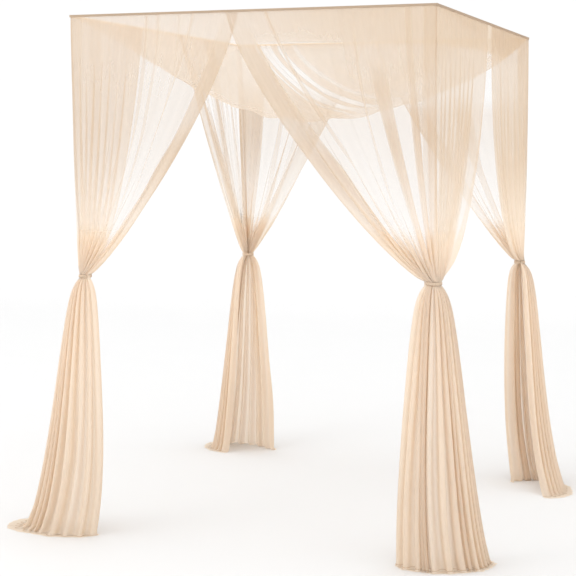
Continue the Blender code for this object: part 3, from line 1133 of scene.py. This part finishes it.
@dataclass
class Roof:
    """The roof panel, which sags between its edges with folds along one diagonal."""

    sag: float = 0.430
    round_x: float = 0.375
    round_y: float = 0.625
    lean_x: float = -0.17
    lean_y: float = 0.28
    fan: float = 0.7
    fan_least: float = 0.15
    cells_x: int = 210
    cells_y: int = 230
    crowding: float = 0.5
    cut: tuple[float, float] = (1.90, 2.28)
    ridges: tuple[Ridge, ...] = (
        Ridge(-0.55, 0.080, 0.016),
        Ridge(-0.34, 0.070, 0.022),
        Ridge(-0.15, 0.065, 0.028),
        Ridge(0.05, 0.070, 0.030),
        Ridge(0.24, 0.065, 0.026),
        Ridge(0.45, 0.080, 0.018),
    )
    fine_waves: tuple[Span, ...] = ((2.3, 0.05), (1.1, 0.02))
    fine_seed: float = 1.3
    fine_ridges: int = 15
    fine_depth: float = 0.0045
    finer: float = 2.3  # finest ridges for each fine one
    finer_share: float = 0.5
    fine_even: float = 0.6  # share of their depth that is the same all over
    fine_turns: Span = (5.0, 3.0)  # radians of the rest, across and along
    drift: float = 0.11  # how far the doubled cloth lies beside the folds' own shape
    drift_from: float = 0.9
    bend: float = 0.19  # further, near the back left corner
    bend_across: Span = (0.36, 0.16)  # where it starts and over how much it grows
    bend_down: Span = (-0.1, 0.2)

    def lines(self, cells: int) -> Array:
        """Returns grid lines from -1 to 1, closer together near the edges."""
        share = np.linspace(0.0, 1.0, cells + 1)
        return (1.0 - self.crowding) * (2.0 * share - 1.0) - self.crowding * np.cos(math.pi * share)

    def ripples(self, along: Array, across: Array, crossing: Array, fade: Array) -> Array:
        """Finds how deep the folds hang below the sag.

        Args:
            along: where each point lies from the front, -1, to the back, 1.
            across: where it lies from the left to the right.
            crossing: where it lies across the folds.
            fade: share of their depth that the main folds have there.

        Returns:
            The depths, in metres.
        """
        main = sum(
            ridge.depth * np.exp(-(((crossing - ridge.across) / ridge.half_width) ** 2))
            for ridge in self.ridges
        )
        turn = crossing + wander(across - along, self.fine_waves, self.fine_seed)
        turn = turn * math.pi * self.fine_ridges
        fine = np.sin(turn) + self.finer_share * np.sin(turn * self.finer)
        uneven = np.sin(self.fine_turns[0] * across + self.fine_turns[1] * along)
        fine = fine * (self.fine_even + (1.0 - self.fine_even) * uneven)
        return main * fade + self.fine_depth * fine * np.sqrt(fade)

    def surface(self) -> tuple[Array, Array, Array]:
        """Lays out the roof.

        Returns:
            Its points, where each lies across the folds, and where along them.
        """
        lines = self.lines(self.cells_y), self.lines(self.cells_x)
        along, across = np.meshgrid(*lines, indexing="ij")
        edge = BINDING_THICK + 2 * GAP + CLOTH_HALF
        x = across * (WIDTH / 2 - edge)
        y = LENGTH / 2 + along * (LENGTH / 2 - edge)
        low_x = np.cos((across - self.lean_x * (1.0 - across**2)) * math.pi / 2)
        low_y = np.cos((along - self.lean_y * (1.0 - along**2)) * math.pi / 2)
        fade = np.maximum(0.0, low_x * low_y)
        sag = self.sag * np.maximum(0.0, low_x) ** self.round_x
        sag = sag * np.maximum(0.0, low_y) ** self.round_y
        spread = np.maximum(self.fan_least, 1.0 - self.fan * np.abs(across - along) / 2)
        crossing = (across + along) / 2 / spread
        z = -BINDING_TALL / 2 - sag - self.ripples(along, across, crossing, fade)
        down = (across - along) / 2
        bend = np.clip((self.bend_across[0] - crossing) / self.bend_across[1], 0.0, 1.0)
        bend = bend * np.clip((self.bend_down[0] - down) / self.bend_down[1], 0.0, 1.0)
        drift = (self.drift + self.bend * bend) * (self.drift_from + down)
        return np.stack([x, y, z], axis=2), crossing - drift, down

    def build(self, material: Material) -> Object:
        """Args:
            material: the voile.

        Returns:
            The roof's sheet.
        """
        points, fan, down = self.surface()
        flat = points[:, :, :2] * np.array([self.cut[0] / WIDTH, self.cut[1] / LENGTH])
        edge_x = WIDTH / 2 - np.abs(points[:, :, 0])
        edge_y = LENGTH / 2 - np.abs(points[:, :, 1] - LENGTH / 2)
        far = np.full_like(fan, EDGE_FAR)
        numbers = {
            "corner_edge": far,
            "across": points[:, :, 0] / (WIDTH / 2),
            "fan": fan,
            "down": down,
            "depth": -points[:, :, 2],
            "side_edge": near_edge(np.minimum(edge_x, edge_y)),
            "foot_edge": far,
        }
        sheet = sheet_from_rows("roof_cloth", points, flat, numbers)
        settle(sheet, material, "voile", "roof_panel")
        return sheet


@dataclass
class Binding:
    """The folded tape round the top edge, whose four lengths come from the frame."""

    front: tuple[str, ...] = ("binding_front", "binding_right")
    rear: tuple[str, ...] = ("binding_back", "binding_left")

    def build(self, lengths: dict[str, Object], material: Material, backlit_tape: Material) -> None:
        """Gives each length of tape its finish.

        Args:
            lengths: the frame's nodes by name.
            material: the tape in front.
            backlit_tape: the tape behind, a paler copy of the same tape with painted light that
                stands in for the light through it.
        """
        for names, finish in ((self.front, material), (self.rear, backlit_tape)):
            for name in names:
                dress(lengths[name], finish)
                report(lengths[name])


@dataclass
class TieBand:
    """A soft gathered band that draws one curtain together."""

    corner: Corner
    around: int = 240
    rows: int = 15
    outer_row: float = 0.42  # place of the outermost row, as a share of the height
    thick: float = 0.0016
    slack: float = 0.0016
    puckers: int = 26
    slant: float = 1.1  # radians that a pucker leans
    crown: float = 0.0012  # how far the middle stands out
    pucker: float = 0.0006
    pucker_least: float = 0.4  # share of it at the middle
    rise: float = 0.0009  # how far the band wanders up and down
    rises: int = 3
    waver: float = 0.0005  # how far its edges do
    wavers: int = 7

    def build(self, material: Material) -> Object:
        """Makes the band and dresses it.

        Args:
            material: the band's cloth.

        Returns:
            The band.
        """
        corner = self.corner
        middle = Vector((*corner.tied, -corner.tie_drop))
        radius = corner.tie_radius + self.slack + self.thick / 2
        deselect_all()
        bpy.ops.mesh.primitive_cylinder_add(
            vertices=self.around, radius=radius, depth=TIE_TALL, end_fill_type="NOTHING",
            location=middle,
        )
        band = bpy.context.object
        band.name = "tie_band_" + corner.name
        band.data.name = band.name
        bpy.ops.object.transform_apply(location=True, rotation=False, scale=False)
        bpy.ops.object.mode_set(mode="EDIT")
        for share in (0.0, *np.linspace(-self.outer_row, self.outer_row, self.rows - 1)):
            bpy.ops.mesh.select_all(action="SELECT")
            level = middle + Vector((0.0, 0.0, float(share) * TIE_TALL))
            bpy.ops.mesh.bisect(plane_co=level, plane_no=(0.0, 0.0, 1.0))
        bpy.ops.object.mode_set(mode="OBJECT")
        for point in band.data.vertices:
            self.shape(point, middle, radius)
        solid = band.modifiers.new("thickness", "SOLIDIFY")
        solid.thickness = self.thick
        solid.offset = 0.0
        bpy.context.view_layer.objects.active = band
        bpy.ops.object.modifier_apply(modifier=solid.name)
        band.data.shade_smooth()
        settle(band, material, "tie", "tie_" + corner.name)
        return band

    def shape(self, point: bpy.types.MeshVertex, middle: Vector, radius: float) -> None:
        """Moves one point of the band out into its crown and its puckers.

        Args:
            point: the point.
            middle: the middle of the band.
            radius: the band's radius.
        """
        offset, seed = point.co - middle, self.corner.seed
        turn = math.atan2(offset.y, offset.x)
        height = offset.z / (TIE_TALL / 2)
        pucker = math.sin(self.puckers * turn + self.slant * height + seed)
        pucker = self.pucker * pucker * (self.pucker_least + height**2)
        out = self.crown * (1.0 - height**2) + pucker
        point.co.x += offset.x / radius * out
        point.co.y += offset.y / radius * out
        waver = self.waver * height * math.sin(self.wavers * turn)
        point.co.z += self.rise * math.sin(self.rises * turn + seed) + waver


# Stage, light and camera


@dataclass
class Stage:
    """A pale floor that sweeps up behind the canopy, soft lights and the camera."""

    half_width: float = 30.0
    front: float = -14.0
    back: float = 14.0
    over: float = 1.3  # length of the floor with its sweep, as a share of the floor's own
    sweep_from: float = 0.6  # share of the way back where the sweep starts
    sweep_round: float = 6.0
    floor_gap: float = 0.0005
    camera_place: tuple[float, float, float] = (2.32, -5.97, -0.58)
    camera_tilt: float = 84.39
    camera_pan: float = 19.58
    sensor: float = 36.0
    lens: float = 91.44
    sky: float = 1.50
    backdrop: float = 1.0
    lamp: float = 60.0
    lamp_size: float = 4.0
    lamp_place: tuple[float, float, float] = (-4.5, -5.0, 3.0)
    lamp_aim: tuple[float, float, float] = (0.0, 1.0, -1.2)

    def floor(self, material: Material) -> None:
        """Lays the pale floor and its sweep.

        Args:
            material: the floor's finish.
        """
        deselect_all()
        bpy.ops.mesh.primitive_grid_add(x_subdivisions=8, y_subdivisions=60, size=1.0)
        floor = bpy.context.object
        floor.name = "floor_sweep"
        for point in floor.data.vertices:
            x = point.co.x * 2.0 * self.half_width
            run = self.front + (point.co.y + 0.5) * (self.back - self.front) * self.over
            rise = max(0.0, run - self.back * self.sweep_from) ** 2 / self.sweep_round
            point.co = Vector((x, run, -HEIGHT - self.floor_gap + rise))
        floor.data.materials.append(material)
        floor.data.shade_smooth()

    def light(self) -> None:
        """Sets an even pale sky and one broad soft lamp."""
        world = bpy.data.worlds.new("studio_sky")
        world.use_nodes = True
        nodes = Nodes(world.node_tree)
        background = next(n for n in world.node_tree.nodes if n.type == "BACKGROUND")
        background.inputs["Color"].default_value = (1.0, 1.0, 1.0, 1.0)
        seen = nodes.out(nodes.add("ShaderNodeLightPath"), "Is Camera Ray")
        strength = self.sky - seen * (self.sky - self.backdrop)
        world.node_tree.links.new(strength.socket, background.inputs["Strength"])
        bpy.context.scene.world = world
        deselect_all()
        bpy.ops.object.light_add(type="AREA", location=self.lamp_place)
        lamp = bpy.context.object
        lamp.name = "soft_lamp"
        lamp.data.energy = self.lamp
        lamp.data.size = self.lamp_size
        aim = Vector(self.lamp_aim) - lamp.location
        lamp.rotation_euler = aim.to_track_quat("-Z", "Y").to_euler()

    def camera(self) -> None:
        """Places the camera."""
        deselect_all()
        turn = (math.radians(self.camera_tilt), 0.0, math.radians(self.camera_pan))
        bpy.ops.object.camera_add(location=self.camera_place, rotation=turn)
        camera = bpy.context.object
        camera.name = "front_camera"
        camera.data.sensor_width = self.sensor
        camera.data.lens = self.lens
        bpy.context.scene.camera = camera

    def build(self, material: Material) -> None:
        """Sets the whole stage.

        Args:
            material: the floor's finish.
        """
        self.floor(material)
        self.light()
        self.camera()
        bpy.context.scene.view_settings.view_transform = "Standard"


# Corners

FRONT_LEFT = Corner(
    "front_left", -1, -1, 0.81, 0.76, Hang(1.3, 0.87), Hang(1.1, 0.50), 0.0036,
    tie=(0.056, 0.012), tie_drop=1.180, tie_radius=0.026,
    foot=(-0.163, 0.100), foot_wide=0.182, foot_deep=0.110, foot_turn=180, foot_fold=0.024,
    bell=0.85, puddle=0.03, tip=0.08, tip_turn=178,
    folds=(
        Fold(-0.755, 0.022, 0.012, 0.8),
        Fold(-0.675, 0.024, 0.020, 1.1),
        Fold(-0.600, 0.022, 0.014, 0.9),
        Fold(-0.470, 0.020, 0.010, 1.2),
        Fold(-0.370, 0.022, 0.012, 0.7),
        Fold(-0.210, 0.035, 0.016, 1.0),
        Fold(-0.070, 0.030, 0.012, 1.2),
        Fold(0.100, 0.035, 0.014, 0.8),
        Fold(0.260, 0.040, 0.020, 1.1),
        Fold(0.440, 0.035, 0.016, 1.0),
        Fold(0.620, 0.030, 0.014, 0.7),
    ),
    bands=(
        Band(-0.810, -0.735, -0.810, -0.700, 0.7, 0.08),
        Band(-0.810, -0.735, -0.810, -0.700, 1.3, 0.20),
        Band(-0.810, -0.790, -0.810, -0.640, 4.4, 0.48),
        Band(-0.606, -0.594, -0.550, -0.538, 0.9, last=0.5),
        Band(-0.536, -0.528, -0.660, -0.648, 0.6, last=0.7),
        Band(-0.436, -0.424, -0.566, -0.552, 0.9),
        Band(-0.382, -0.370, -0.476, -0.462, 1.0),
        Band(-0.060, 0.045, -0.060, 0.045, 0.6),
        Band(0.045, 0.760, 0.045, 0.760, 0.65),
        Band(0.190, 0.300, 0.220, 0.320, 0.5),
    ),
    cut=(1.60, 2.52), seed=0.4,
)
FRONT_RIGHT = Corner(
    "front_right", 1, -1, 0.94, 1.02, Hang(1.3, 0.87), Hang(1.9, 0.67), 0.0013,
    tie=(-0.007, 0.012), tie_drop=1.163, tie_radius=0.032,
    foot=(0.022, 0.120), foot_wide=0.180, foot_deep=0.120, foot_turn=20, foot_fold=0.026,
    bell=0.90, puddle=0.02, tip=0.01, tip_turn=20,
    folds=(
        Fold(-0.895, 0.026, 0.014, 0.9),
        Fold(-0.800, 0.028, 0.024, 1.2),
        Fold(-0.705, 0.024, 0.018, 0.8),
        Fold(-0.370, 0.018, 0.010, 1.1),
        Fold(-0.265, 0.034, 0.022, 1.0),
        Fold(-0.130, 0.024, 0.014, 0.8),
        Fold(0.075, 0.030, 0.012, 1.2),
        Fold(0.230, 0.036, 0.020, 0.9),
        Fold(0.410, 0.040, 0.024, 1.1),
        Fold(0.600, 0.036, 0.018, 0.7),
        Fold(0.800, 0.040, 0.016, 1.0),
    ),
    bands=(
        Band(-0.940, -0.865, -0.940, -0.660, 0.5, 0.08),
        Band(-0.940, -0.865, -0.940, -0.660, 0.9, 0.20),
        Band(-0.940, -0.865, -0.940, -0.660, 3.6, 0.53),
        Band(-0.766, -0.752, -0.564, -0.540, 1.2),
        Band(-0.364, -0.352, -0.484, -0.466, 1.0, 0.12),
        Band(-0.345, -0.252, -0.290, -0.240, 1.3, 0.24),
        Band(-0.330, -0.262, -0.310, -0.230, 2.6, 0.42),
        Band(-0.138, -0.112, -0.144, -0.106, 1.1),
        Band(-0.140, -0.108, -0.160, -0.100, 3.0, 0.38),
        Band(-0.055, 0.004, -0.120, 0.004, 1.2),
        Band(-0.050, 0.004, -0.080, 0.004, 2.6, 0.38),
        Band(0.004, 0.800, 0.004, 0.720, 0.5),
        Band(0.800, 1.020, 0.720, 1.020, 0.4),
        # Painted highlight: the last three bands thin the upper front side, so that the white
        # backdrop shows through where strong light blows out to white.
        Band(-0.862, -0.580, -0.660, -0.640, -0.30, 0.15, 0.30),
        Band(-0.862, -0.480, -0.660, -0.630, -0.30, 0.15, 0.30),
        Band(-0.862, -0.400, -0.660, -0.620, -0.25, 0.15, 0.30),
    ),
    cut=(1.96, 2.52), seed=1.7,
)
BACK_LEFT = Corner(
    "back_left", -1, 1, 0.76, 0.88, Hang(1.1, 0.97), Hang(1.05, 0.97), 0.0025,
    tie=(0.053, -0.012), tie_drop=1.225, tie_radius=0.029,
    foot=(-0.030, -0.010), foot_wide=0.190, foot_deep=0.115, foot_turn=160, foot_fold=0.024,
    bell=0.85, puddle=0.03, tip=0.05, tip_turn=150,
    folds=(
        Fold(-0.670, 0.024, 0.014, 1.0),
        Fold(-0.560, 0.026, 0.018, 0.8),
        Fold(-0.430, 0.024, 0.014, 1.2),
        Fold(-0.310, 0.022, 0.012, 0.9),
        Fold(-0.180, 0.028, 0.018, 1.1),
        Fold(-0.060, 0.026, 0.012, 0.8),
        Fold(0.130, 0.034, 0.016, 1.1),
        Fold(0.300, 0.036, 0.020, 0.7),
        Fold(0.480, 0.034, 0.018, 1.0),
        Fold(0.660, 0.030, 0.016, 1.2),
        Fold(0.830, 0.030, 0.014, 0.8),
    ),
    bands=(
        Band(-0.760, -0.640, -0.760, -0.600, 1.3, 0.3),
        Band(-0.530, -0.490, -0.600, -0.560, 0.8, 0.3),
        Band(-0.420, -0.385, -0.550, -0.500, 1.0, 0.3),
        Band(-0.318, -0.288, -0.480, -0.430, 1.0, 0.3),
        Band(-0.160, 0.060, -0.220, 0.090, 3.2, 0.24),
        Band(0.230, 0.262, 0.240, 0.270, 0.9),
        Band(0.420, 0.545, 0.500, 0.600, 1.0),
        Band(0.090, 0.860, 0.110, 0.860, -0.62),
        Band(0.860, 0.880, 0.420, 0.880, 1.5),
        # Painted highlight: thins the upper back side, so that the white backdrop shows through
        # where strong light blows out to white.
        Band(-0.780, 0.000, -0.780, 0.000, -0.85, 0.0, 0.30),
    ),
    cut=(1.68, 2.52), seed=2.9,
)
BACK_RIGHT = Corner(
    "back_right", 1, 1, 0.87, 0.99, Hang(1.2, 0.92), Hang(2.2, 0.55), 0.0025,
    tie=(-0.021, -0.070), tie_drop=1.225, tie_radius=0.026,
    foot=(0.172, -0.360), foot_wide=0.175, foot_deep=0.125, foot_turn=-75, foot_fold=0.024,
    bell=0.60, puddle=0.03, tip=0.03, tip_turn=-30,
    folds=(
        Fold(-0.810, 0.026, 0.014, 1.1),
        Fold(-0.700, 0.028, 0.020, 0.8),
        Fold(-0.430, 0.030, 0.018, 1.0),
        Fold(-0.230, 0.024, 0.012, 1.2),
        Fold(-0.080, 0.026, 0.012, 0.7),
        Fold(0.110, 0.034, 0.014, 1.0),
        Fold(0.280, 0.036, 0.020, 1.2),
        Fold(0.450, 0.036, 0.024, 0.8),
        Fold(0.620, 0.034, 0.018, 1.1),
        Fold(0.800, 0.034, 0.020, 0.9),
        Fold(0.960, 0.028, 0.014, 1.0),
    ),
    bands=(
        Band(-0.870, -0.730, -0.870, -0.740, 1.5, 0.3),
        Band(-0.480, -0.340, -0.590, -0.520, 1.4, 0.3),
        Band(-0.060, 0.060, -0.080, 0.080, 1.0),
        Band(0.060, 0.900, 0.080, 0.900, 1.2),
        Band(0.060, 0.900, 0.080, 0.900, 1.2, 0.55),
        Band(0.900, 0.990, 0.900, 0.990, 0.9),
        # Painted highlight: thins the upper back side, so that the white backdrop shows through
        # where strong light blows out to white.
        Band(-0.880, -0.060, -0.880, -0.060, -0.85, 0.0, 0.30),
    ),
    cut=(1.88, 2.50), seed=4.2,
)


def main() -> None:
    """Builds the canopy in order."""
    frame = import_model()
    Stage().build(StageFinish().build())
    voile = VoileFinish().build()
    light, dark = linear(240, 223, 202), linear(226, 205, 181)
    band_cloth = TapeFinish("gathered_band", light, dark, fold=NO_FOLD).build()
    tape = TapeFinish("edge_tape", linear(206, 186, 163), linear(184, 160, 136)).build()
    # Painted light: a paler copy of the same tape for the lengths behind, standing in for the light
    # that comes through them.
    light, dark = linear(251, 242, 230), linear(246, 235, 221)
    backlit_tape = TapeFinish("edge_tape_painted_backlight", light, dark, translucency=0.75).build()
    Binding().build(frame["nodes"], tape, backlit_tape)
    report(Roof().build(RoofFinish().build()))
    for corner in (FRONT_LEFT, FRONT_RIGHT, BACK_LEFT, BACK_RIGHT):
        report(Curtain(corner).build(voile))
        report(TieBand(corner).build(band_cloth))
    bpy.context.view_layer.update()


if __name__ == "__main__":
    logging.basicConfig(level=logging.INFO)
    main()
